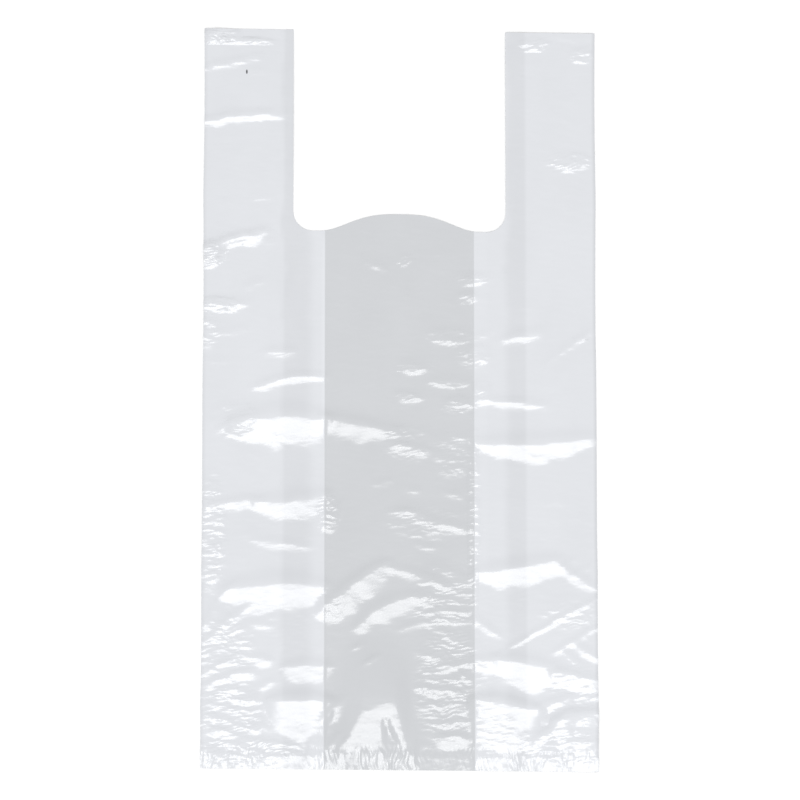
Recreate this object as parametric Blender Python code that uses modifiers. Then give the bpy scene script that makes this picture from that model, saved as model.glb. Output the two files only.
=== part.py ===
"""A flat-folded carrier bag of thin polyethylene film, of the kind with two vest handles.

One length of blown film tube makes the whole bag. Its two sides are tucked inwards as gussets, so a
cross-section holds four layers of film near each edge and two layers in the middle. A heat seal welds
every layer together across the bottom and across the top of each handle, and one punched cut through
all the layers opens the mouth and leaves the two handles standing beside it.

The bag lies on its back panel: X runs across it, +Y towards the handles and Z up through the layers.
The origin is in the middle of the bag, on the surface that it lies on.
"""

import math

import bmesh
import bpy

MM = 0.001

# The bag as it lies flat
BAG_WIDTH = 300 * MM
BAG_LENGTH = 562 * MM
GUSSET_DEPTH = 93 * MM

# The film. Real film is about 0.015 mm, and the wall is made thicker so that it is a sound solid.
FILM_WALL = 0.15 * MM
LAYER_GAP = 0.40 * MM
LAYER_PITCH = FILM_WALL + LAYER_GAP
FOLD_RADIUS = LAYER_PITCH / 2
FOLD_STEPS = 8

# The punched mouth between the handles
HANDLE_WIDTH = 68.5 * MM
MOUTH_DEPTH = 152.5 * MM
MOUTH_CORNER_RADIUS = 15 * MM
TONGUE_RISE = 13 * MM
TONGUE_HALF_WIDTH = 61 * MM
TONGUE_FULLNESS = 1.45
CURVE_STEPS = 14

# The heat seals, each placed by its middle: above the bag's bottom edge, and below the handles' top edge
SEAL_WIDTH = 2 * MM
BOTTOM_SEAL_HEIGHT = 14 * MM
HANDLE_SEAL_DEPTH = 8 * MM

HALF_WIDTH = BAG_WIDTH / 2
HALF_LENGTH = BAG_LENGTH / 2
MOUTH_HALF_WIDTH = HALF_WIDTH - HANDLE_WIDTH
MOUTH_BOTTOM = HALF_LENGTH - MOUTH_DEPTH
STACK_HEIGHT = 4 * FILM_WALL + 3 * LAYER_GAP
CUT_MARGIN = 10 * MM


def clear_scene():
    """Removes whatever the scene holds, so that the bag is all there is."""
    for obj in list(bpy.data.objects):
        bpy.data.objects.remove(obj)


def new_collection(name):
    """A new collection in the scene."""
    collection = bpy.data.collections.new(name)
    bpy.context.scene.collection.children.link(collection)
    return collection


def film_material():
    """Natural polyethylene: milky, half clear and rather glossy."""
    material = bpy.data.materials.new("natural polyethylene film")
    material.use_nodes = True
    shader = material.node_tree.nodes["Principled BSDF"]
    shader.inputs["Base Color"].default_value = (0.72, 0.74, 0.76, 1)
    shader.inputs["Roughness"].default_value = 0.25
    shader.inputs["Metallic"].default_value = 0
    shader.inputs["Alpha"].default_value = 0.8
    return material


def layer_height(layer):
    """The middle of a layer's wall, counted up from the back panel: 0 back, 1 and 2 gusset, 3 front."""
    return FILM_WALL / 2 + layer * LAYER_PITCH


def fold(centre_x, lower_layer, side):
    """The points of a half-round fold, from a layer down to the next one. Side is the way that it bulges."""
    middle = layer_height(lower_layer) + FOLD_RADIUS
    points = []
    for step in range(FOLD_STEPS + 1):
        angle = math.pi * (0.5 - step / FOLD_STEPS)
        across = centre_x + side * FOLD_RADIUS * math.cos(angle)
        points.append((across, middle + FOLD_RADIUS * math.sin(angle)))
    return points


def half_section():
    """The right half of the folded tube's section, from the front panel's middle to the back's."""
    outer_radius = FOLD_RADIUS + FILM_WALL / 2
    edge = HALF_WIDTH - outer_radius
    crease = HALF_WIDTH - GUSSET_DEPTH + outer_radius
    points = [(0, layer_height(3))]
    points += fold(edge, lower_layer=2, side=1)
    points += fold(crease, lower_layer=1, side=-1)
    points += fold(edge, lower_layer=0, side=1)
    points.append((0, layer_height(0)))
    return points


def curve_object(name, points, closed, collection):
    """A curve of straight pieces through the given points, in the curve's own flat plane."""
    curve = bpy.data.curves.new(name, "CURVE")
    curve.dimensions = "2D"
    spline = curve.splines.new("POLY")
    spline.points.add(len(points) - 1)
    for point, (across, up) in zip(spline.points, points):
        point.co = (across, up, 0, 1)
    spline.use_cyclic_u = closed
    obj = bpy.data.objects.new(name, curve)
    collection.objects.link(obj)
    return obj


def as_mesh_object(curve_obj, collection):
    """The same shape as a mesh with its caps welded on. The curve is removed."""
    bpy.context.view_layer.update()
    graph = bpy.context.evaluated_depsgraph_get()
    mesh = bpy.data.meshes.new_from_object(curve_obj.evaluated_get(graph))
    name = curve_obj.name
    obj = bpy.data.objects.new(name, mesh)
    obj.matrix_world = curve_obj.matrix_world
    collection.objects.link(obj)
    bpy.data.objects.remove(curve_obj)
    obj.name = name
    shape = bmesh.new()
    shape.from_mesh(mesh)
    bmesh.ops.remove_doubles(shape, verts=shape.verts, dist=0.001 * MM)
    bmesh.ops.recalc_face_normals(shape, faces=shape.faces)
    shape.to_mesh(mesh)
    shape.free()
    return obj


def folded_tube(collection):
    """The gusseted tube: half a section swept along the bag, mirrored, and given its wall."""
    guide = curve_object("carrier_bag", half_section(), False, collection)
    guide.data.fill_mode = "NONE"
    guide.data.extrude = HALF_LENGTH
    guide.rotation_euler = (math.radians(90), 0, 0)
    tube = as_mesh_object(guide, collection)
    mirror = tube.modifiers.new("other half", "MIRROR")
    mirror.use_axis = (True, False, False)
    mirror.merge_threshold = 0.01 * MM
    wall = tube.modifiers.new("film wall", "SOLIDIFY")
    wall.thickness = FILM_WALL
    wall.offset = 0
    wall.use_even_offset = True
    return tube


def seal_bar(name, middle_y, collection):
    """The welded band of a heat seal. It ends inside the outer layers' walls, so that it joins them all."""
    inset = FILM_WALL / 2
    size = (BAG_WIDTH - 2 * inset, SEAL_WIDTH, STACK_HEIGHT - 2 * inset)
    bpy.ops.mesh.primitive_cube_add(size=1, location=(0, middle_y, STACK_HEIGHT / 2), scale=size)
    bar = bpy.context.object
    bar.name = name
    bpy.ops.object.transform_apply(location=False, rotation=False, scale=True)
    for holder in list(bar.users_collection):
        holder.objects.unlink(bar)
    collection.objects.link(bar)
    return bar


def half_mouth_outline():
    """The mouth's right half, from the top of the tongue to above the handle's inner edge."""
    points = []
    for step in range(CURVE_STEPS + 1):
        share = step / CURVE_STEPS
        rise = TONGUE_RISE * (1 + math.cos(math.pi * share**TONGUE_FULLNESS)) / 2
        points.append((share * TONGUE_HALF_WIDTH, MOUTH_BOTTOM + rise))
    corner_x = MOUTH_HALF_WIDTH - MOUTH_CORNER_RADIUS
    corner_y = MOUTH_BOTTOM + MOUTH_CORNER_RADIUS
    for step in range(CURVE_STEPS + 1):
        angle = math.radians(-90 + 90 * step / CURVE_STEPS)
        across = corner_x + MOUTH_CORNER_RADIUS * math.cos(angle)
        points.append((across, corner_y + MOUTH_CORNER_RADIUS * math.sin(angle)))
    points.append((MOUTH_HALF_WIDTH, HALF_LENGTH + CUT_MARGIN))
    return points


def mouth_cutter(collection):
    """The punch that cuts the mouth through every layer."""
    right = half_mouth_outline()
    left = [(-across, along) for across, along in reversed(right[1:])]
    guide = curve_object("mouth_punch", right + left, True, collection)
    guide.data.fill_mode = "BOTH"
    guide.data.extrude = STACK_HEIGHT / 2 + CUT_MARGIN
    guide.location = (0, 0, STACK_HEIGHT / 2)
    return as_mesh_object(guide, collection)


def add_boolean(target, tool, operation):
    """Joins or cuts the target with a tool object that is itself not shown."""
    boolean = target.modifiers.new(tool.name, "BOOLEAN")
    boolean.operation = operation
    boolean.object = tool
    tool.hide_render = True
    tool.display_type = "WIRE"


def main():
    clear_scene()
    bag_collection = new_collection("carrier bag")
    tools = new_collection("tools")
    bag = folded_tube(bag_collection)
    bag.data.materials.append(film_material())
    bottom_seal = seal_bar("bottom_seal", -HALF_LENGTH + BOTTOM_SEAL_HEIGHT, tools)
    handle_seals = seal_bar("handle_seals", HALF_LENGTH - HANDLE_SEAL_DEPTH, tools)
    add_boolean(bag, bottom_seal, "UNION")
    add_boolean(bag, handle_seals, "UNION")
    add_boolean(bag, mouth_cutter(tools), "DIFFERENCE")


main()
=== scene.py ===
# %% [markdown]
# # A plastic carrier bag of thin film
#
# The real bag is one length of blown polyethylene tube. The tube is flattened with a gusset tucked into
# each side, sealed across the bottom and across the top of each handle, and a punched cut through all
# the layers opens the mouth. Nothing is sewn or glued: all that the eye reads is film, folds and creases.
#
# Film could be simulated as cloth, but its creases are sharp and stay where handling put them. So the
# sheet is laid out flat as a grid, folded as the bag factory folds it, and creased by a height field.

# %% Frame
import math

import bmesh
import bpy
import numpy as np
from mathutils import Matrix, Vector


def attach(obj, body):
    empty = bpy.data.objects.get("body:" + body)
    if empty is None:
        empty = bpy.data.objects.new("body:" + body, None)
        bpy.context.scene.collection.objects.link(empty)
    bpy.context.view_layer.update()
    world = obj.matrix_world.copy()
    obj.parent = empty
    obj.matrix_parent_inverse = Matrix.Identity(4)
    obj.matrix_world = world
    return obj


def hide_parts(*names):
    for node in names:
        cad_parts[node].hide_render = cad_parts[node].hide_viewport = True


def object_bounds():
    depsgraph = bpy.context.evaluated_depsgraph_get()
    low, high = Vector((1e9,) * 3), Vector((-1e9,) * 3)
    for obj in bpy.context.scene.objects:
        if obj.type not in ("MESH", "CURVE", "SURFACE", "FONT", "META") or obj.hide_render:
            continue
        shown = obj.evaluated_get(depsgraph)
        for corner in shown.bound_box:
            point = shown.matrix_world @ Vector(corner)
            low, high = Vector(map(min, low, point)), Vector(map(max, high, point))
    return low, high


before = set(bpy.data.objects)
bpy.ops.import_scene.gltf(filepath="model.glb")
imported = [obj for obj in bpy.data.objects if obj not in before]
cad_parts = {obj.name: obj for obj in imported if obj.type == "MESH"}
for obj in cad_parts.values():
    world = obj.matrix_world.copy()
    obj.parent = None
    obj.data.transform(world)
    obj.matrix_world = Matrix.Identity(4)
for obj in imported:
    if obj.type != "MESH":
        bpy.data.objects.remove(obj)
cad_low, cad_high = [list(corner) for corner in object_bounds()]
print("frame:", cad_low, cad_high)

# %% [markdown]
# ## Driving sizes
#
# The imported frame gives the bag's width and length. The sizes below are the maker's own: how deep the
# gussets go, how wide a handle is and how the punch cuts the mouth. They are in millimetres, because film
# is specified in millimetres, and the mesh is scaled to metres once, when its points are placed.

# %% Sizes in millimetres
MM = 0.001
HALF_WIDTH = cad_high[0] / MM
HALF_LENGTH = cad_high[1] / MM
GUSSET_DEPTH = 93.0
CREASE_X = HALF_WIDTH - GUSSET_DEPTH
HANDLE_WIDTH = 68.5
MOUTH_X = HALF_WIDTH - HANDLE_WIDTH
MOUTH_Y = HALF_LENGTH - 152.5
CORNER_RADIUS = 15.0
TONGUE_RISE = 13.0
TONGUE_HALF_WIDTH = 61.0
TONGUE_FULLNESS = 1.45
BOTTOM_SEAL_Y = -HALF_LENGTH + 14.0
HANDLE_SEAL_Y = HALF_LENGTH - 8.0
FILM = 0.05
print(f"bag {2 * HALF_WIDTH:.0f} x {2 * HALF_LENGTH:.0f} mm, gusset crease at {CREASE_X:.0f} mm")

# %% [markdown]
# ## Where the sheet's rows and columns run
#
# One closed trip round the folded tube crosses the front panel, dives into the right gusset and back,
# crosses the back panel, and does the same on the left. Columns are close together on the front panel,
# which shows every crease, and wide apart on the layers that it hides. Rows are closest near the bottom,
# where a bag is creased most.


# %% Columns round the tube
def spread(start, end, step):
    """Evenly spaced values from start up to, but not including, end, about a step apart."""
    count = max(1, round(abs(end - start) / step))
    return [start + (end - start) * i / count for i in range(count)]


def half_columns(outer_step, middle_step):
    """Places across one panel from its middle to its right edge, with a column on each feature."""
    places = spread(0, CREASE_X - 0.8, middle_step)
    places += spread(CREASE_X - 0.8, CREASE_X + 0.8, 0.8)
    places += spread(CREASE_X + 0.8, MOUTH_X, middle_step)
    places += spread(MOUTH_X, HALF_WIDTH, outer_step)
    return places + [HALF_WIDTH]


def web_columns():
    """Places across a gusset's web, from the bag's edge in to the crease."""
    places = spread(HALF_WIDTH, MOUTH_X, 11.0) + spread(MOUTH_X, CREASE_X, 4.1)
    return places + [CREASE_X]


FRONT, UPPER_WEB, LOWER_WEB, BACK = 3, 2, 1, 0
right_front = half_columns(2.7, 2.6)
left_front = [-x for x in right_front[:0:-1]]
right_back = half_columns(11.0, 5.0)
web = web_columns()
trip = [(x, FRONT) for x in left_front + right_front]
trip += [(x, UPPER_WEB) for x in web]
trip += [(x, LOWER_WEB) for x in web[::-1]]
trip += [(x, BACK) for x in right_back[::-1]]
trip += [(-x, BACK) for x in right_back[1:]]
trip += [(-x, LOWER_WEB) for x in web]
trip += [(-x, UPPER_WEB) for x in web[::-1]]
column_x = np.array([x for x, _ in trip])
column_layer = np.array([layer for _, layer in trip])
print(f"{len(trip)} columns round the tube, {len(left_front + right_front)} of them on the front")


# %% Rows along the tube
def row_places():
    """Places along the bag from its bottom edge to the handles' tops, coarser towards the top."""
    places = [-HALF_LENGTH]
    seals = [BOTTOM_SEAL_Y, HANDLE_SEAL_Y]
    while places[-1] < HALF_LENGTH:
        share = (places[-1] + HALF_LENGTH) / (2 * HALF_LENGTH)
        near_seal = any(abs(places[-1] - seal) < 2.5 for seal in seals)
        step = 1.0 if near_seal else 1.65 + 1.15 * min(1.0, share * 1.6)
        places.append(places[-1] + step)
    stretch = 2 * HALF_LENGTH / (places[-1] + HALF_LENGTH)
    return np.array([-HALF_LENGTH + (y + HALF_LENGTH) * stretch for y in places])


row_y = row_places()
print(f"{len(row_y)} rows along the bag")

# %% [markdown]
# ## Laying the film out
#
# The film starts as a plain grid, one primitive, with a column for every place round the tube and a row
# for every place along it. Folding is then only a matter of sending each column to its own layer. The
# last column comes back to where the first one started, so the seam is merged there.


# %% Grid, folded into layers
bpy.ops.object.select_all(action="DESELECT")
columns, rows = len(trip) + 1, len(row_y)
bpy.ops.mesh.primitive_grid_add(x_subdivisions=columns - 1, y_subdivisions=rows - 1, size=2)
bag = bpy.context.object
bag.name = "creased_film_bag"
mesh = bag.data
flat = np.empty(len(mesh.vertices) * 3)
mesh.vertices.foreach_get("co", flat)
flat = flat.reshape(-1, 3)
column = np.rint((flat[:, 0] + 1) / 2 * (columns - 1)).astype(int)
row = np.rint((flat[:, 1] + 1) / 2 * (rows - 1)).astype(int)
x = np.append(column_x, column_x[0])[column]
layer = np.append(column_layer, column_layer[0])[column]
y = row_y[row]
print(f"sheet of {columns} by {rows} points")

# %% [markdown]
# ## The punched mouth
#
# The punch leaves straight inner edges on the handles, a rounded corner at each foot and a low tongue in
# the middle. The outline is a formula, so that the same cut can be made in all the layers: faces inside
# it are removed, and the points left on the ragged edge are slid onto the outline.


# %% Mouth outline
def mouth_floor(across):
    """How high the mouth's edge is at a distance from the bag's middle line."""
    across = np.abs(across)
    share = np.clip(across / TONGUE_HALF_WIDTH, 0, 1) ** TONGUE_FULLNESS
    tongue = TONGUE_RISE * (1 + np.cos(np.pi * share)) / 2
    past = np.clip(across - (MOUTH_X - CORNER_RADIUS), 0, CORNER_RADIUS)
    corner = CORNER_RADIUS - np.sqrt(CORNER_RADIUS**2 - past**2)
    return MOUTH_Y + tongue + corner


def outline_points():
    """Close-set points along the mouth's edge, for finding the nearest one to a point."""
    corner_x, corner_y = MOUTH_X - CORNER_RADIUS, MOUTH_Y + CORNER_RADIUS
    across = np.arange(0, corner_x, 0.1)
    turn = np.linspace(-np.pi / 2, 0, 240)
    up = np.arange(corner_y, HALF_LENGTH + 5, 0.1)
    corner = [corner_x + CORNER_RADIUS * np.cos(turn), corner_y + CORNER_RADIUS * np.sin(turn)]
    half_x = np.concatenate([across, corner[0], np.full(len(up), MOUTH_X)])
    half_y = np.concatenate([mouth_floor(across), corner[1], up])
    return np.concatenate([half_x, -half_x]), np.concatenate([half_y, half_y])


shape = bmesh.new()
shape.from_mesh(mesh)
shape.verts.ensure_lookup_table()
shape.faces.ensure_lookup_table()
middle_x = np.array([x[[v.index for v in face.verts]].mean() for face in shape.faces])
middle_y = np.array([y[[v.index for v in face.verts]].mean() for face in shape.faces])
punched = (np.abs(middle_x) < MOUTH_X) & (middle_y > mouth_floor(middle_x))
keep = shape.verts.layers.int.new("original")
for vert in shape.verts:
    vert[keep] = vert.index
inside_cut = [face for face, out in zip(shape.faces[:], punched) if out]
bmesh.ops.delete(shape, geom=inside_cut, context="FACES")
edge_x, edge_y = outline_points()
slid = 0
for vert in shape.verts:
    source = vert[keep]
    on_cut = vert.is_boundary and abs(x[source]) < MOUTH_X + 3 and y[source] > MOUTH_Y - 3
    on_handle_top = y[source] >= HALF_LENGTH - 0.1 and abs(x[source]) >= MOUTH_X - 0.1
    if on_cut and not on_handle_top:
        nearest = np.argmin((edge_x - x[source]) ** 2 + (edge_y - y[source]) ** 2)
        x[source], y[source] = edge_x[nearest], edge_y[nearest]
        slid += 1
kept = np.array([vert[keep] for vert in shape.verts])
shape.verts.layers.int.remove(keep)
shape.to_mesh(mesh)
shape.free()
x, y, layer = x[kept], y[kept], layer[kept]
print(f"{punched.sum()} faces punched out, {slid} points slid onto the outline")

# %% [markdown]
# ## How film creases
#
# Film bends easily but hardly stretches, so a crumple is made of flat facets that meet in sharp lines,
# not of soft hills. A crease thrown up by folding is a low tent: a long ridge with a gentle slope on one
# side, a steeper one on the other, and a point at each end. The heights are in millimetres, and most
# slopes are only a few degrees, which is enough for a glossy film to flash where it faces the lamp.


# %% Seeded noise
TABLE_SIZE = 128


def noise(across, along, seed):
    """Smooth noise from 0 to 1 that changes once for each unit of its two inputs."""
    table = np.random.default_rng(seed).random((TABLE_SIZE, TABLE_SIZE))
    column_low, row_low = np.floor(across).astype(int), np.floor(along).astype(int)
    u, v = across - column_low, along - row_low
    u, v = u * u * (3 - 2 * u), v * v * (3 - 2 * v)
    left, right = column_low % TABLE_SIZE, (column_low + 1) % TABLE_SIZE
    below, above = row_low % TABLE_SIZE, (row_low + 1) % TABLE_SIZE
    low = table[left, below] * (1 - u) + table[right, below] * u
    high = table[left, above] * (1 - u) + table[right, above] * u
    return low * (1 - v) + high * v


def cells(across, along, seed):
    """Distance to the nearest of a jittered lattice of points: pits that meet in sharp creases."""
    table = np.random.default_rng(seed).random((2, TABLE_SIZE, TABLE_SIZE))
    column, row = np.floor(across).astype(int), np.floor(along).astype(int)
    nearest = np.full(across.shape, 9.0)
    for step_x in (-1, 0, 1):
        for step_y in (-1, 0, 1):
            i, j = column + step_x, row + step_y
            point_x = i + table[0, i % TABLE_SIZE, j % TABLE_SIZE]
            point_y = j + table[1, i % TABLE_SIZE, j % TABLE_SIZE]
            nearest = np.minimum(nearest, np.hypot(across - point_x, along - point_y))
    return nearest


print("noise at three places:", noise(np.array([0.0, 0.5, 1.0]), np.zeros(3), 1).round(2))


# %% Steps and waves
def rise(value, start, end):
    """0 before start and 1 after end, with a smooth step between."""
    share = np.clip((value - start) / (end - start), 0, 1)
    return share * share * (3 - 2 * share)


def band(value, start, end, soft):
    """1 between start and end, fading to 0 over a soft margin outside."""
    return rise(value, start - soft, start) * (1 - rise(value, end, end + soft))


def zigzag(phase):
    """A wave of straight flanks from 0 to 1, as a row of facets has."""
    return np.abs(2 * (phase - np.floor(phase)) - 1)


def sawtooth(phase, steep):
    """A wave from 0 to 1 whose falling flank takes only the given share of its length."""
    share = phase - np.floor(phase)
    return np.minimum(share / (1 - steep), (1 - share) / steep)


print("a sawtooth over one wave:", sawtooth(np.linspace(0, 0.9, 4), 0.3).round(2))

# %% A tent-shaped crease
NEAR_STRETCH = 1.25
NEAR_CURVE = 1.12


def tent(x, y, start, end, height, near, far, bow, seed):
    """A ridge from start to end, whose near flank faces the bottom of the bag and far flank the handles."""
    (x0, y0), (x1, y1) = start, end
    length = math.hypot(x1 - x0, y1 - y0)
    ux, uy = (x1 - x0) / length, (y1 - y0) / length
    along = ((x - x0) * ux + (y - y0) * uy) / length
    inside = (along > 0) & (along < 1)
    swell = np.where(inside, np.sin(np.pi * np.clip(along, 0, 1)), 0) ** 0.4
    wobble = (noise(along * length / 9, np.full_like(along, seed * 1.7), 11 + seed) - 0.5) * 1.6
    away = -(x - x0) * uy + (y - y0) * ux - bow * np.sin(np.pi * np.clip(along, 0, 1)) - wobble
    uneven = min(0.6, 6.0 / near) * (noise(along * length / 9, along * 0, 40 + seed) - 0.5)
    reach = np.where(away > 0, far, NEAR_STRETCH * near * (1 + uneven))
    flank = np.clip(1 - np.abs(away) / np.maximum(reach * swell, 1e-6), 0, 1)
    return height * swell * np.where(away > 0, rise(flank, 0.0, 1.0), flank**NEAR_CURVE)


sample_lean = math.degrees(math.atan(NEAR_CURVE * 1.0 / (NEAR_STRETCH * 8.0)))
print(f"a ridge 1 mm high with an 8 mm near flank leans {sample_lean:.0f} degrees")
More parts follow.
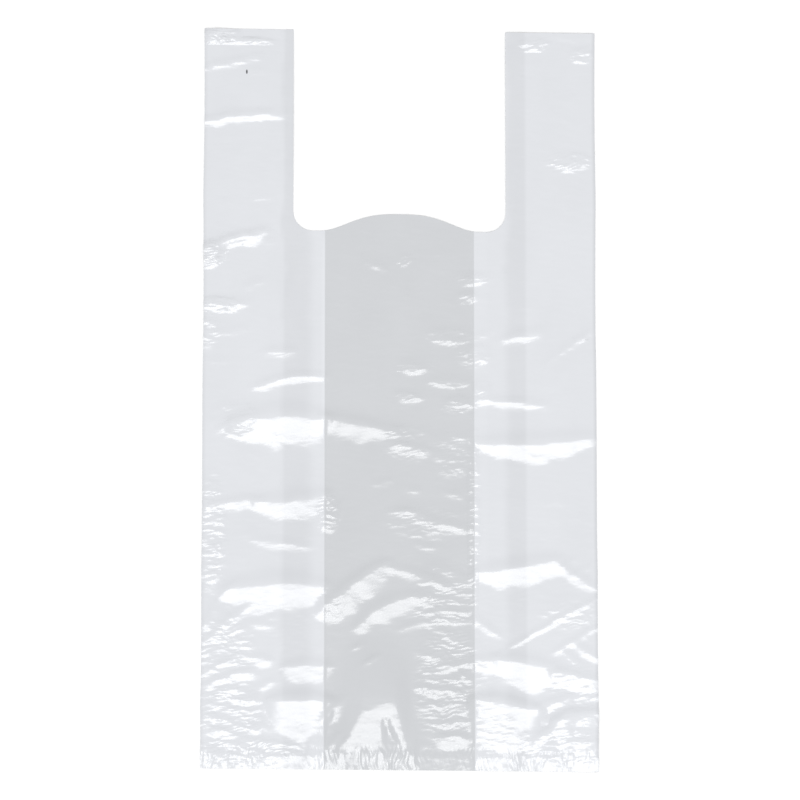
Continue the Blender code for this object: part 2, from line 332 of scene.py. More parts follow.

# %% [markdown]
# The large creases are listed one by one, as a person would press them in. Each line gives the ridge's two
# ends across and along the bag, its height, how wide its near and far flanks are, and how far its middle
# bows towards the handles, all in millimetres.

# %% The large creases
CREASES = [
    # left handle
    ((-158, 211), (-80, 217), 1.05, 6.0, 3.5, 3.0),
    ((-158, 251), (-104, 261), 0.75, 4.2, 3.0, 0.0),
    ((-124, 246), (-98, 251), 0.26, 2.2, 2.2, 0.0),
    ((-118, 153), (-94, 155), 0.25, 2.0, 2.5, 0.5),
    # left side of the body, upper half
    ((-166, 111), (-98, 131), 1.60, 8.5, 4.0, 0.0),
    ((-106, 118), (-92, 122), 0.40, 2.5, 2.0, 0.5),
    ((-120, 85), (-102, 90), 0.50, 3.4, 2.8, 0.5),
    ((-160, 73), (-113, 73), 0.85, 4.5, 3.5, 1.0),
    ((-152, 48), (-114, 54), 0.45, 2.8, 2.5, 0.0),
    ((-152, 28), (-126, 30), 0.42, 2.6, 2.4, 0.0),
    ((-107, 36), (-76, 36), 0.80, 5.0, 4.0, 1.5),
    ((-115, 8), (-52, 19), 1.15, 6.2, 4.0, 4.0),
    # left side of the body, lower half
    ((-141, -24), (-108, -14), 0.90, 9.0, 4.0, 2.0),
    ((-132, -19), (-50, -14), 2.80, 20.0, 16.0, 2.5),
    ((-64, -14), (-2, -25), 1.75, 12.0, 9.0, 1.5),
    ((-150, -82), (-100, -76), 1.10, 8.0, 3.5, 2.0),
    ((-114, -80), (-52, -71), 1.80, 12.5, 11.0, -2.0),
    ((-121, -103), (-104, -103), 0.25, 2.0, 2.0, 0.0),
    ((-115, -106), (-65, -112), 0.70, 5.5, 4.0, 0.5),
    ((-138, -146), (-50, -142), 2.25, 18.0, 14.0, 3.0),
    ((-90, -203), (-50, -202), 1.35, 12.0, 7.0, 0.5),
    ((-102, -230), (-48, -229), 3.60, 26.0, 12.0, 1.0),
    # bottom left corner
    ((-148, -187), (-113, -156), 0.90, 5.0, 4.0, 1.5),
    ((-115, -171), (-94, -172), 0.50, 4.0, 3.0, 0.5),
    ((-107, -169), (-91, -164), 0.35, 2.6, 2.4, 0.0),
    ((-138, -191), (-112, -180), 0.35, 2.8, 2.4, 0.0),
    ((-149, -209), (-121, -194), 0.85, 6.0, 4.0, 0.5),
    ((-113, -195), (-95, -199), 0.85, 6.5, 4.0, 0.0),
    ((-148, -219), (-109, -205), 1.20, 8.0, 5.0, 1.0),
    ((-107, -220), (-93, -214), 0.60, 5.5, 4.0, 0.5),
    ((-141, -224), (-120, -220), 0.90, 7.0, 4.0, 0.5),
    ((-127, -230), (-106, -228), 0.55, 4.5, 3.0, 0.0),
    ((-140, -237), (-108, -237), 0.30, 2.4, 2.4, 0.0),
    ((-150, -243), (-125, -244), 0.35, 2.8, 2.4, 0.0),
    ((-144, -253), (-123, -250), 0.75, 6.0, 4.0, 0.5),
    ((-116, -244), (-102, -257), 0.60, 3.5, 3.0, 0.0),
    ((-109, -241), (-97, -254), 0.50, 3.0, 3.0, 0.0),
    # middle of the front panel
    ((-64, -164), (-5, -121), 2.25, 14.5, 9.0, 2.5),
    ((-10, -126), (46, -146), 0.95, 6.0, 5.0, 2.0),
    ((-36, -176), (26, -148), 1.40, 10.0, 9.0, 8.0),
    ((-4, -176), (30, -167), 0.42, 3.0, 3.0, 1.0),
    ((-28, 107), (-6, 99), 0.52, 3.2, 2.6, 0.0),
    ((-12, -33), (24, -39), 0.92, 5.4, 3.0, 1.0),
    ((-12, -84), (27, -88), 0.88, 5.2, 3.0, 1.0),
    ((10, -90), (57, -99), 0.95, 5.4, 3.0, 1.0),
    # beside the fan at the bottom
    ((-58, -269), (-43, -251), 0.90, 3.6, 2.5, 0.0),
    ((-50, -270), (-38, -255), 0.80, 3.4, 2.5, 0.0),
    ((-59, -246), (-41, -225), 0.95, 6.5, 5.0, 0.0),
    ((-29, -203), (-14, -193), 1.05, 3.8, 2.5, 0.0),
    ((-38, -191), (-27, -184), 0.75, 3.2, 2.5, 0.0),
    ((17, -161), (60, -160), 0.62, 3.6, 2.6, 0.0),
    ((20, -167), (60, -168), 0.58, 3.4, 2.6, 0.0),
    ((11, -190), (31, -197), 0.55, 4.0, 3.0, 0.0),
    ((26, -203), (60, -196), 0.75, 5.5, 4.0, -1.0),
    ((16, -208), (37, -215), 0.36, 2.8, 2.4, 0.0),
    ((33, -216), (55, -205), 0.42, 2.8, 2.4, 0.0),
    ((11, -219), (49, -223), 0.90, 7.0, 5.0, 0.5),
    ((14, -233), (52, -231), 0.65, 5.0, 4.0, 0.5),
    ((24, -246), (58, -243), 0.45, 3.5, 3.0, 0.0),
    ((27, -255), (54, -257), 0.95, 7.5, 5.0, 0.5),
    # streaks beside the right gusset crease
    ((41, 96), (70, 94), 0.50, 3.0, 2.4, 0.0),
    ((46, 90), (62, 91), 0.42, 2.8, 2.4, 0.0),
    ((45, 82), (61, 80), 0.48, 3.0, 2.4, 0.0),
    ((21, 53), (57, 52), 0.52, 3.0, 2.4, 0.0),
    ((25, 46), (55, 46), 0.48, 2.8, 2.4, 0.0),
    ((55, 47), (74, 54), 0.52, 3.0, 2.4, 0.0),
    ((43, 39), (67, 40), 0.52, 3.0, 2.4, 0.0),
    ((49, 33), (71, 31), 0.54, 3.0, 2.4, 0.0),
    ((-1, 29), (20, 29), 0.44, 2.8, 2.4, 0.0),
    ((2, 23), (20, 24), 0.42, 2.8, 2.4, 0.0),
    ((21, 16), (56, 14), 0.48, 3.0, 2.4, 0.0),
    ((54, 13), (71, 4), 0.60, 4.0, 2.4, 0.0),
    ((-4, 6), (18, 4), 0.46, 3.0, 2.4, 0.0),
    ((-1, 0), (17, -1), 0.42, 2.8, 2.4, 0.0),
    ((36, 1), (60, -4), 0.48, 3.2, 2.4, 0.0),
    # right side of the body
    ((75, 46), (112, 55), 0.85, 6.5, 6.0, 0.5),
    ((107, 26), (150, 57), 0.50, 2.5, 3.0, 0.0),
    ((132, 46), (152, 56), 0.45, 2.8, 2.4, 0.0),
    ((52, 1), (116, -4), 1.00, 5.5, 3.5, 2.5),
    ((55, -31), (152, -26), 2.05, 12.5, 12.0, -4.0),
    ((104, -76), (128, -78), 0.30, 3.0, 3.0, 0.5),
    ((55, -131), (126, -119), 1.95, 14.0, 11.0, -1.0),
    ((116, -119), (151, -143), 0.95, 8.0, 3.5, 0.0),
    ((72, -194), (160, -142), 0.95, 3.0, 2.4, 0.0),
    ((112, -194), (152, -169), 0.80, 3.0, 2.6, 0.0),
    ((55, -162), (78, -181), 0.70, 4.5, 3.0, 0.0),
    ((110, -160), (132, -157), 0.45, 3.5, 3.0, 0.0),
    ((122, -187), (143, -204), 0.60, 3.5, 3.0, 0.0),
    ((131, -182), (152, -197), 0.85, 6.0, 4.0, 0.0),
    ((54, -198), (84, -198), 1.20, 9.0, 8.0, 0.0),
    ((70, -194), (126, -206), 2.30, 17.0, 10.0, 0.5),
    ((112, -206), (154, -212), 1.70, 13.0, 7.0, 1.0),
    # bottom right corner
    ((52, -226), (110, -236), 4.20, 33.0, 11.0, 1.0),
    ((102, -234), (132, -224), 1.60, 11.0, 7.0, 0.0),
    ((99, -262), (132, -233), 2.50, 15.0, 9.0, 0.0),
    ((112, -244), (158, -236), 3.00, 23.0, 9.0, 1.0),
    ((106, -264), (153, -258), 1.30, 10.0, 6.0, 1.0),
    # short streaks in the middle
    ((38, -27), (57, -28), 0.62, 3.2, 2.4, 0.0),
    ((36, -50), (56, -54), 0.62, 3.2, 2.4, 0.0),
    ((-22, -64), (-4, -61), 0.50, 2.8, 2.4, 0.0),
    ((4, -66), (17, -68), 0.58, 3.0, 2.4, 0.0),
    ((31, -69), (51, -72), 0.62, 3.2, 2.4, 0.0),
    ((10, -108), (30, -113), 0.55, 3.0, 2.4, 0.0),
    # short slanting fingers at the ends of the large creases
    ((-143, -12), (-128, 2), 0.45, 3.0, 2.5, 0.0),
    ((-147, -20), (-136, -14), 0.35, 2.5, 2.0, 0.0),
    ((-136, -32), (-120, -16), 0.60, 4.0, 2.5, 0.0),
    ((-12, -16), (6, -26), 0.55, 3.5, 2.5, 0.0),
    ((-4, -28), (14, -27), 0.35, 2.5, 2.0, 0.5),
    ((-137, -152), (-124, -138), 0.60, 4.0, 2.5, 0.0),
    ((-150, -178), (-136, -150), 0.70, 3.5, 3.0, 0.0),
    ((-52, -86), (-42, -76), 0.40, 3.0, 2.0, 0.0),
    ((-53, -96), (-46, -84), 0.40, 2.5, 2.0, 0.0),
    ((122, -128), (134, -118), 0.50, 3.0, 2.0, 0.0),
    ((128, -134), (146, -124), 0.45, 3.0, 2.0, 0.0),
]
print(f"{len(CREASES)} large creases, the highest {max(crease[2] for crease in CREASES):.1f} mm")

# %% [markdown]
# Small crumples are not placed one by one. They gather where the film was gripped or folded: at the
# bottom, along the gusset creases and at the left edge. Each zone below is an ellipse with a centre, two
# half-widths and a strength, and seeded facets are scaled by how deep in a zone they are. Towards the
# handles a facet has to lean further to catch the lamp, so everything there is a little steeper.

# %% Where the film is crumpled
CRUMPLED = [
    (-137, 276, 14, 6, 1.0),
    (-118, 272, 22, 3, 0.5),
    (104, 272, 12, 5, 0.5),
    (140, 264, 10, 6, 0.35),
    (131, 183, 20, 7, 0.42),
    (-146, 110, 11, 9, 1.0),
    (-138, 72, 18, 6, 0.6),
    (-148, 52, 10, 14, 0.5),
    (4, 107, 6, 4, 0.35),
    (58, 93, 14, 4, 0.3),
    (52, 79, 9, 5, 0.3),
    (40, 49, 22, 7, 0.3),
    (56, 35, 14, 9, 0.35),
    (40, 14, 20, 6, 0.3),
    (63, 8, 8, 10, 0.5),
    (10, 25, 13, 5, 0.35),
    (8, 3, 13, 5, 0.35),
    (45, -3, 14, 7, 0.4),
    (8, -32, 20, 16, 0.35),
    (40, -40, 16, 20, 0.4),
    (-122, -15, 14, 14, 0.6),
    (0, -28, 10, 10, 0.6),
    (20, -92, 30, 14, 0.40),
    (56, -90, 5, 80, 0.75),
    (-54, -85, 8, 16, 0.8),
    (-50, -155, 10, 16, 0.35),
    (-143, -100, 11, 44, 0.8),
    (-132, -190, 22, 30, 0.6),
    (-128, -240, 24, 26, 0.8),
    (-116, -268, 40, 11, 0.9),
    (34, -150, 24, 26, 0.6),
    (38, -212, 26, 48, 0.65),
    (130, -160, 24, 14, 0.35),
    (132, -225, 22, 30, 0.45),
    (124, -262, 34, 16, 0.7),
    (70, -250, 20, 28, 0.25),
]
print(f"{len(CRUMPLED)} crumpled zones")

# %% How crumpled each point is
SMOOTH_FILM = 0.10


def steepening(y, most):
    """How much steeper creases stand near the handles than near the bottom."""
    return 1 + most * rise(y, -80, 240)


def crumple_strength(x, y):
    """How crumpled the film is, lowest where it lies smooth."""
    strength = np.full_like(x, SMOOTH_FILM)
    for centre_x, centre_y, half_x, half_y, amount in CRUMPLED:
        away = np.hypot((x - centre_x) / half_x, (y - centre_y) / half_y)
        strength = np.maximum(strength, amount * (1 - rise(away, 0.55, 1.35)))
    return strength * steepening(y, 1.1)


crumpled_share = (crumple_strength(x, y) > 3 * SMOOTH_FILM).mean()
print(f"{crumpled_share:.0%} of the points lie where the film is clearly crumpled")


# %% Facets of two sizes
def facets(x, y):
    """Crumple height before it is scaled: long facets across the bag, with shorter crossed ones on them."""
    drift = noise(x / 38, y / 24, 3) * 3.2 + noise(x / 13, y / 9, 4) * 0.9
    long_wave = zigzag(y / 11.5 + drift)
    turn_x, turn_y = x + 5 * noise(x / 30, y / 22, 5), y + 0.28 * x + 7 * noise(x / 26, y / 19, 6)
    wide = cells(turn_x / 30, turn_y / 11, 51)
    bend = 3 * noise(x / 12, y / 12, 7)
    leaning_left = cells((x - 0.6 * y) / 12, (y + 0.45 * x + bend) / 6.5, 52)
    leaning_right = cells((x + 0.6 * y) / 12, (y - 0.45 * x + bend) / 6.5, 53)
    which = rise(noise(x / 26, y / 20, 14), 0.42, 0.58)
    shards = leaning_left * which + leaning_right * (1 - which)
    return 0.16 * long_wave + 0.55 * wide + 0.80 * shards


facet_height = facets(x, y)
print(f"facets from {facet_height.min():.2f} to {facet_height.max():.2f} mm before they are scaled")

# %% [markdown]
# ## What the seals do to the film
#
# A hot bar welds the layers, and the film shrinks a little as it cools. Left of the middle the shrinking
# has gathered the film into upright puckers and thrown up one fan-shaped pleat, with a groove down its
# right-hand part. Right of the middle the seal lies almost plain. Below the seal the film's cut end is
# free and slopes down to the table.


# %% Seals
def seal_press(y):
    """How hard the layers are pressed together: 1 on the bottom seal, less on the handles' seals."""
    bottom = 1 - rise(np.abs(y - BOTTOM_SEAL_Y), 0.6, 5.0)
    handles = 1 - rise(np.abs(y - HANDLE_SEAL_Y), 0.6, 4.0)
    return np.maximum(bottom, 0.4 * handles)


def gathered_part(x):
    """1 where the bottom seal has gathered the film."""
    return band(x, -62, 8, 10)


def plain_part(x):
    """1 where the bottom seal lies almost plain."""
    return band(x, 16, 50, 8)


def right_gusset_part(x):
    """1 over the right gusset, where the loose end stands a little higher and is crimped less."""
    return rise(x, 55, 80)


print(f"{(seal_press(row_y) > 0.2).sum()} rows are pressed by the seals")

# %% Gathered fan
FOOT_SLOPE = 0.08
FOOT_HEIGHT = 0.9
FAN_LEAN = 0.09
FAN_LENGTH = 40.0
GROOVE_LENGTH = 34.0


def fan_pleat(x, y):
    """One gathered fold that fans down to the bottom seal, with a groove down its right-hand part."""
    up = np.clip(y - BOTTOM_SEAL_Y + 4, 0, None)
    left, right = np.clip((-7 - x) / 37, 0, 1), np.clip((x + 3) / 11, 0, 1)
    top = FAN_LENGTH * (1 - left**2.8) * (1 - right) * (0.95 + 0.10 * noise(x / 7, y * 0, 17))
    foot = np.clip(FOOT_SLOPE * (y + HALF_LENGTH), 0, FOOT_HEIGHT)
    behind = (foot + FAN_LEAN * top) * band(x, -44, 8, 7) * (1 - rise(up, 42, 95))
    fold = np.minimum(foot + FAN_LEAN * up, behind)
    pleat_width = np.maximum(13 - 0.15 * up, 4)
    pleats = 0.14 * sawtooth((x + 9) / pleat_width + 0.6 * noise(up / 14, x * 0, 8), 0.3)
    below_tip = np.clip(GROOVE_LENGTH - up, 0, None)
    half_groove = 0.8 + 0.21 * below_tip
    across = x + 13 - 0.28 * below_tip
    groove = 0.44 * np.clip(np.minimum(half_groove + across, 2.5 * (half_groove - across)), 0, None)
    groove = np.minimum(groove * rise(below_tip, 0, 5), 0.8 * fold)
    return fold + rise(fold, 1.0, 1.8) * pleats - groove


print(f"the fan's fold stands {fan_pleat(x, y).max():.1f} mm high")


# %% Loose end and crimps
def loose_end(x, y):
    """The film's loose end below the bottom seal, which slopes down to the table."""
    above_edge = y + HALF_LENGTH
    slope = np.minimum(FOOT_SLOPE * above_edge, 1.0) * (1 - rise(y, BOTTOM_SEAL_Y, BOTTOM_SEAL_Y + 36))
    puckers = gathered_part(x) * (0.65 + 1.2 * noise(x / 4.5, x * 0, 19))
    elsewhere = 0.5 + 0.6 * noise(x / 19, x * 0, 9) + 0.3 * right_gusset_part(x)
    return slope * np.maximum(elsewhere * (1 - 0.6 * plain_part(x)), puckers)


def crimp_strength(x, y):
    """How tightly the film is crimped upright by the bottom seal, 0 where it isn't."""
    uneven = 0.35 + 0.9 * noise(x / 16, x * 0, 15)
    puckers = gathered_part(x) * (0.2 + 0.7 * uneven)
    elsewhere = uneven * (1 - 0.7 * plain_part(x)) * (1 - 0.3 * right_gusset_part(x))
    return np.maximum(elsewhere, puckers) * (1 - rise(y, BOTTOM_SEAL_Y - 1, BOTTOM_SEAL_Y + 7))


print(f"the loose end rises to {loose_end(x, y).max():.1f} mm at the seal")


# %% Whole relief
def crease_height(x, y):
    """The film's whole relief in millimetres above where a smooth sheet would lie."""
    broad = 0.9 * noise(x / 95 + 3, y / 70 + 5, 1)
    height = broad + crumple_strength(x, y) * facets(x, y)
    for number, (start, end, top, near, far, bow) in enumerate(CREASES):
        height = height + steepening(y, 0.9) * tent(x, y, start, end, top, near, far, bow, number)
    return height * (1 - 0.3 * seal_press(y)) + np.maximum(fan_pleat(x, y), loose_end(x, y))


relief = crease_height(x, y)
print(f"relief {relief.min():.2f} to {relief.max():.2f} mm")

# %% [markdown]
# ## Stacking the layers
#
# Real layers touch. Here each one keeps a small gap to the next, and each lower layer follows less of the
# relief than the one above it, so that no two can cross. The heat seals press all four together.

# %% Height of every point
TABLE_GAP = 0.06
REST_HEIGHT = np.array([0.0, 0.20, 0.30, 0.52])
SEALED_HEIGHT = np.array([0.0, 0.12, 0.14, 0.30])
FOLLOWS = np.array([0.12, 0.42, 0.70, 1.0])
press = seal_press(y)
stack = REST_HEIGHT[layer] * (1 - press) + SEALED_HEIGHT[layer] * press
over_gusset = rise(np.abs(x), CREASE_X - 1.2, CREASE_X + 0.4)
front_stack = np.maximum(stack * over_gusset, 0.20 * (1 - over_gusset))
stack = np.where(layer == FRONT, front_stack, stack)
z = TABLE_GAP + stack + FOLLOWS[layer] * relief
print(f"top of the film at {z.max():.2f} mm")

# %% [markdown]
# A bag off the roll is never quite square. This one widens slightly towards the bottom, is cut a little
# askew, has a left handle that is a touch longer, and its side folds wander by a fraction of a millimetre.

# %% Place every point
SKEW = 0.0095
WIDTH_SHARE, BOTTOM_EXTRA = 0.9965, 0.0075
ripple = 0.5 * (noise(y / 26, y * 0, 21) - 0.5) + 0.6 * (noise(y / 70, y * 0, 22) - 0.5)
side = rise(np.abs(x), HALF_WIDTH - 30, HALF_WIDTH)
taper = WIDTH_SHARE - BOTTOM_EXTRA * y / HALF_LENGTH
across = (x + np.sign(x) * side * ripple) * taper
along = y - SKEW * x + (0.9 - 0.0043 * x) * rise(y, 150, HALF_LENGTH)
place = np.stack([across, along, z], axis=1) * MM
mesh.vertices.foreach_set("co", place.ravel())
mesh.update()
print(f"bag lies {np.ptp(across):.1f} mm wide and {np.ptp(along):.1f} mm long")

# %% [markdown]
# ## What the material needs to know
#
# The material has to know where each point lies on the bag, whatever the creases do to it. Its flat place
# goes into a UV map, and three attributes say how crumpled, how crimped and how light the film is there.
# How light the film is there includes painted highlight and shade.


# %% How light the film is, with painted highlight and shade
def tone_with_painted_light(x, y):
    """How light the film is against its usual tone: darker bands over the gussets, random clouds, and
    painted highlight and shade.
    """
    sway = 3.0 * (noise(y / 34, y * 0, 31) - 0.5) + 1.6 * (noise(y / 9, y * 0, 32) - 0.5)
    left_band = rise(x + sway, -91, -87) * (1 - rise(x + sway, -74, -62))
    right_band = rise(x - sway, 78, 86) * (1 - rise(x, 95.0, 96.6))
    beside = band(x, -65, -CREASE_X, 2.5) * 0.6 + band(x, CREASE_X, 65, 3.0)
    # Painted highlight: a thin lighter line along the left gusset crease.
    painted_crease_highlight = band(x, -CREASE_X - 1.6, -CREASE_X - 0.4, 0.8) * band(y, -20, 115, 12)
    cloud = noise(x / 23, y / 31, 33) + 0.5 * noise(x / 7, y / 9, 34) - 0.75
    tone = 1 - 0.068 * np.maximum(left_band, right_band) + 0.012 * beside + 0.022 * cloud + 0.035 * painted_crease_highlight
    # Darker towards the bottom. Painted light: the bottom corners are lightened against the shade on their
    # creases that face away from the lamp.
    painted_corner_light = rise(-y, 130, 210) * rise(np.abs(x), 58, 95)
    tone = tone - 0.020 * rise(-y, 0, 160) + np.where(x > 0, 0.040, 0.020) * painted_corner_light
    # Painted shade: a thin darker line along each side edge, darker on the right.
    edge = rise(np.abs(x), HALF_WIDTH - 1.6, HALF_WIDTH - 0.2)
    return tone - np.where(x > 0, 0.15, 0.08) * edge


tone_and_painted_light = tone_with_painted_light(x, y)
print(f"tone from {tone_and_painted_light.min():.2f} to {tone_and_painted_light.max():.2f}")

# %% Attributes and flat map
painted = {"crumple": crumple_strength(x, y), "crimp": crimp_strength(x, y), "tone": tone_and_painted_light}
for name, values in painted.items():
    attribute = mesh.attributes.new(name, "FLOAT", "POINT")
    attribute.data.foreach_set("value", values.astype(np.float32))
flat_map = mesh.uv_layers[0] if mesh.uv_layers else mesh.uv_layers.new(name="flat")
flat_map.name = "flat"
corner_vert = np.empty(len(mesh.loops), dtype=int)
mesh.loops.foreach_get("vertex_index", corner_vert)
flat_uv = np.stack([x[corner_vert] * MM, y[corner_vert] * MM], axis=1)
flat_map.data.foreach_set("uv", flat_uv.ravel().astype(np.float32))
print(f"attributes {', '.join(painted)} on {len(x)} points")

# %% [markdown]
# The strip now closes into a tube: its first and last columns are merged. The film then gets its wall,
# inwards from the sheet, so that both faces of every layer are real.

# %% Seam and wall
bpy.ops.object.mode_set(mode="EDIT")
bpy.ops.mesh.select_all(action="SELECT")
bpy.ops.mesh.remove_doubles(threshold=0.002 * MM)
bpy.ops.object.mode_set(mode="OBJECT")
wall = bag.modifiers.new("film wall", "SOLIDIFY")
wall.thickness = FILM * MM
wall.offset = -1
bpy.ops.object.modifier_apply(modifier=wall.name)
bpy.ops.object.shade_smooth_by_angle(angle=math.radians(60))
loose = sum(1 for edge in mesh.edges if edge.is_loose)
triangles = sum(len(face.vertices) - 2 for face in mesh.polygons)
print(f"film mesh: {triangles} triangles, {loose} loose edges")

# %% [markdown]
# ## The film's finish
#
# Natural HDPE film is milky and glossy. One layer hardly shows, and each further layer scatters more
# light, so the sides, where the gussets make four layers, look whiter than the middle with two. That is
# painted from the flat map on an opaque film, which on a white table should look the same from above.


# %% Colours and nodes
def linear(hex_code):
    """An sRGB hex colour as linear RGBA."""
    channels = [int(hex_code[i : i + 2], 16) / 255 for i in (1, 3, 5)]
    return [c / 12.92 if c <= 0.04045 else ((c + 0.055) / 1.055) ** 2.4 for c in channels] + [1.0]


def node(tree, kind, settings=None, **links):
    """Adds a node. Settings name its properties or inputs, and links feed inputs from other outputs."""
    made = tree.nodes.new(kind)
    for key, value in (settings or {}).items():
        if isinstance(key, int) or key in made.inputs:
            made.inputs[key].default_value = value
        else:
            setattr(made, key, value)
    for key, source in links.items():
        slot = int(key[1:]) if key[0] == "i" and key[1:].isdigit() else key.replace("_", " ")
        tree.links.new(source, made.inputs[slot])
    return made


TWO_LAYERS, FOUR_LAYERS = linear("#C4C6C9"), linear("#D4D6DA")
print(f"two layers are {TWO_LAYERS[1] / FOUR_LAYERS[1]:.2f} as light as four")

# %% Film material
# Blown polyethylene: drawn up as a bubble and rolled flat, which leaves it milky, smooth and glossy.
film = bpy.data.materials.new("blown polyethylene film")
film.use_nodes = True
tree = film.node_tree
shader = tree.nodes["Principled BSDF"]
shader.inputs["Roughness"].default_value = 0.18
shader.inputs["IOR"].default_value = 1.54
flat_place = node(tree, "ShaderNodeUVMap", {"uv_map": "flat"}).outputs[0]
split = node(tree, "ShaderNodeSeparateXYZ", i0=flat_place)
from_middle = node(tree, "ShaderNodeMath", {"operation": "ABSOLUTE"}, i0=split.outputs[0]).outputs[0]
gusset = node(
    tree,
    "ShaderNodeMapRange",
    {"From Min": (CREASE_X - 0.35) * MM, "From Max": (CREASE_X + 0.35) * MM},
    Value=from_middle,
).outputs[0]
layers = node(tree, "ShaderNodeMix", {"data_type": "RGBA", 6: TWO_LAYERS, 7: FOUR_LAYERS}, Factor=gusset)
# The tone attribute carries painted highlight and shade into the film's colour, together with its bands and
# clouds.
tone = node(tree, "ShaderNodeAttribute", {"attribute_name": "tone"}).outputs["Fac"]
toned = node(tree, "ShaderNodeVectorMath", {"operation": "SCALE"}, i0=layers.outputs[2], Scale=tone)
print("film material takes its tone from:", flat_place.node.uv_map, "map and", tone.node.attribute_name)

# %% A dark speck on the left handle
SPECK_PLACE, SPECK_SIZE = (-0.1175, 0.2484, 0), (0.0007, 0.0018, 1)
speck_place = node(
    tree, "ShaderNodeVectorMath", {"operation": "SUBTRACT", 1: SPECK_PLACE}, i0=flat_place
).outputs[0]
speck_share = node(
    tree, "ShaderNodeVectorMath", {"operation": "DIVIDE", 1: SPECK_SIZE}, i0=speck_place
).outputs[0]
speck_away = node(tree, "ShaderNodeVectorMath", {"operation": "LENGTH"}, i0=speck_share).outputs["Value"]
speck = node(tree, "ShaderNodeMapRange", {"From Min": 0.7, "From Max": 1.1}, Value=speck_away).outputs[0]
dirt = {"data_type": "RGBA", 6: linear("#4A4B4D")}
specked = node(tree, "ShaderNodeMix", dirt, Factor=speck, i7=toned.outputs[0])
tree.links.new(specked.outputs[2], shader.inputs["Base Color"])
print(f"speck {2 * SPECK_SIZE[0] / MM:.1f} by {2 * SPECK_SIZE[1] / MM:.1f} mm")

# %% [markdown]
# Creases finer than the mesh are bump. Three sets of stretched cells, 2.7 to 5.6 mm wide, lie across the
# bag at different leans and show where the film is crumpled, and faintly elsewhere, so that smooth film
# doesn't look like glass. Upright cells 3.4 mm wide are the crimps at the bottom seal.

# %% Fine crinkles
warp = node(
    tree, "ShaderNodeTexNoise", {"Scale": 55.0, "Detail": 1.0}, Vector=flat_place
).outputs["Color"]
warped = node(
    tree, "ShaderNodeVectorMath", {"operation": "MULTIPLY_ADD", 1: (0.010, 0.007, 0)}, i0=warp, i2=flat_place
).outputs[0]


def stretched_cells(length, width, lean):
    """Sharp-edged cells as heights from 0 to about 1, a length by a width in millimetres, and leaning."""
    turn = {"rotation_type": "Z_AXIS", "Angle": lean}
    turned = node(tree, "ShaderNodeVectorRotate", turn, Vector=warped).outputs[0]
    fit = {"operation": "MULTIPLY", 1: (1 / (length * MM), 1 / (width * MM), 1)}
    fitted = node(tree, "ShaderNodeVectorMath", fit, i0=turned).outputs[0]
    flat_cells = {"voronoi_dimensions": "2D", "Scale": 1.0}
    return node(tree, "ShaderNodeTexVoronoi", flat_cells, Vector=fitted).outputs[0]


wide_cells = stretched_cells(22, 5.6, 0.16)
narrow_cells = stretched_cells(11, 2.7, -0.20)
crossing_cells = stretched_cells(12, 4.8, 0.75)
upright_cells = stretched_cells(3.4, 14, 0.0)
print("four sets of fine cells")

# %% Crinkles as bump
add_half = {"operation": "MULTIPLY_ADD", 1: 0.50}
level_cells = node(tree, "ShaderNodeMath", add_half, i0=narrow_cells, i2=wide_cells).outputs[0]
add_less = {"operation": "MULTIPLY_ADD", 1: 0.45}
both = node(tree, "ShaderNodeMath", add_less, i0=crossing_cells, i2=level_cells).outputs[0]
crumple = node(tree, "ShaderNodeAttribute", {"attribute_name": "crumple"}).outputs["Fac"]
crimp = node(tree, "ShaderNodeAttribute", {"attribute_name": "crimp"}).outputs["Fac"]
crumpled = node(tree, "ShaderNodeMath", {"operation": "MULTIPLY"}, i0=both, i1=crumple).outputs[0]
crinkle_height = node(
    tree, "ShaderNodeMath", {"operation": "MULTIPLY_ADD"}, i0=upright_cells, i1=crimp, i2=crumpled
).outputs[0]
CRINKLE_DEPTH = 0.6
bump_size = {"Strength": 1.0, "Distance": CRINKLE_DEPTH * MM}
bump = node(tree, "ShaderNodeBump", bump_size, Height=crinkle_height)
tree.links.new(bump.outputs[0], shader.inputs["Normal"])
mesh.materials.append(film)
print(f"film material: {len(tree.nodes)} nodes, {CRINKLE_DEPTH} mm of bump for a height of 1")

# %% [markdown]
# ## Telling the frame about the bag
#
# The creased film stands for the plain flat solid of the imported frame, and it is one sheet: a tube whose
# girth is twice the flat width and four times the gusset. The punch takes some of its area away.

# %% The bag in the frame
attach(bag, "root")
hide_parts("carrier_bag")

# %% [markdown]
# ## Floor, light and camera
#
# The bag lies on a plain white table. One wide soft lamp hangs beyond the foot of the bag, so that level
# film mirrors only the dim room, and each facet tilted a few degrees that way flashes white.

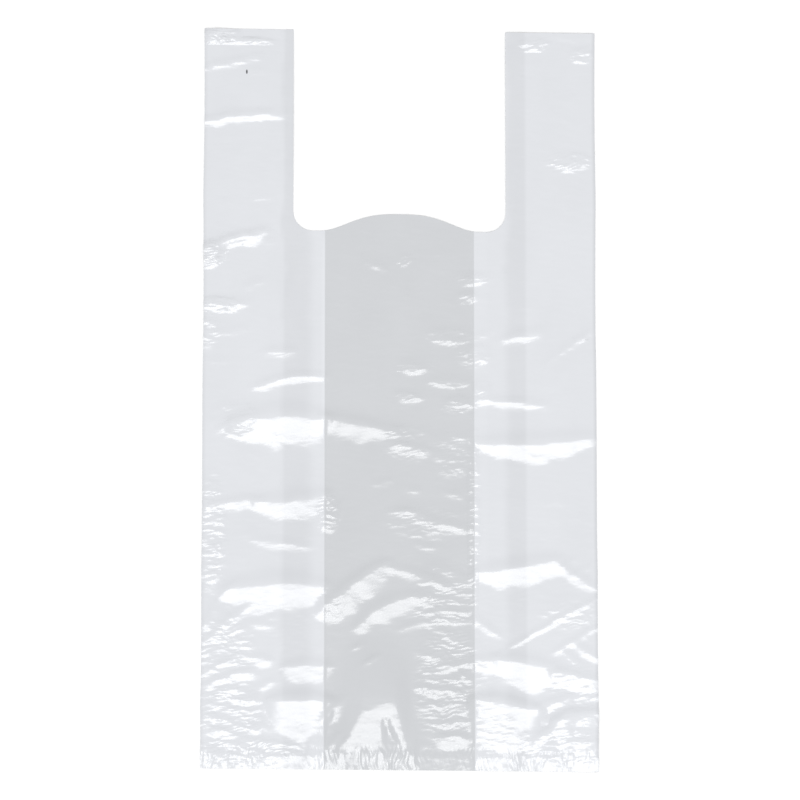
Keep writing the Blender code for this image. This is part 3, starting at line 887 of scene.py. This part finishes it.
# %% Floor
# White laminate: a sealed paper surface, matt, which scatters light evenly and mirrors almost nothing.
bpy.ops.mesh.primitive_plane_add(size=12, location=(0, 0, 0))
floor = bpy.context.object
floor.name = "white_table"
laminate = bpy.data.materials.new("matt white laminate")
laminate.use_nodes = True
table_shader = laminate.node_tree.nodes["Principled BSDF"]
table_shader.inputs["Base Color"].default_value = linear("#FAFAFA")
table_shader.inputs["Roughness"].default_value = 0.8
table_shader.inputs["Specular IOR Level"].default_value = 0.2
floor.data.materials.append(laminate)
print(f"table {floor.dimensions.x:.0f} m wide")

# %% Lamps and room
LAMP_HEIGHT = 5.0
LAMP_NEAR, LAMP_FAR, LAMP_WIDTH = -0.65, -2.6, 2.6
lamp_data = bpy.data.lights.new("softbox", "AREA")
lamp_data.shape = "RECTANGLE"
lamp_data.size, lamp_data.size_y = LAMP_WIDTH, LAMP_NEAR - LAMP_FAR
lamp_data.energy = 98
softbox = bpy.data.objects.new("softbox", lamp_data)
softbox.location = (0, (LAMP_NEAR + LAMP_FAR) / 2, LAMP_HEIGHT)
bpy.context.scene.collection.objects.link(softbox)
world = bpy.data.worlds.new("plain room")
world.use_nodes = True
background = world.node_tree.nodes["Background"]
background.inputs["Color"].default_value = linear("#FFFFFF")
background.inputs["Strength"].default_value = 0.860
bpy.context.scene.world = world
bpy.context.scene.view_settings.view_transform = "Standard"
print(f"lamp {LAMP_WIDTH} by {LAMP_NEAR - LAMP_FAR:.2f} m, {LAMP_HEIGHT} m up")

# %% [markdown]
# The camera looks down from six metres with a long lens, so that the bag's sides stay parallel, and is
# tilted a few degrees from upright.

# %% Camera
CAMERA_DISTANCE, CAMERA_TILT = 6.0, math.radians(4.0)
SENSOR_WIDTH, FRAMED_WIDTH = 36, 0.608
camera_data = bpy.data.cameras.new("overhead")
camera_data.sensor_width = SENSOR_WIDTH
camera_data.lens = SENSOR_WIDTH * CAMERA_DISTANCE / FRAMED_WIDTH
camera = bpy.data.objects.new("overhead", camera_data)
camera_back = CAMERA_DISTANCE * math.sin(CAMERA_TILT)
camera_up = CAMERA_DISTANCE * math.cos(CAMERA_TILT)
camera.location = (0.0004, -camera_back, camera_up)
camera.rotation_euler = (CAMERA_TILT, 0, 0)
bpy.context.scene.collection.objects.link(camera)
bpy.context.scene.camera = camera
print(f"camera {CAMERA_DISTANCE} m away, {camera_data.lens:.0f} mm lens")
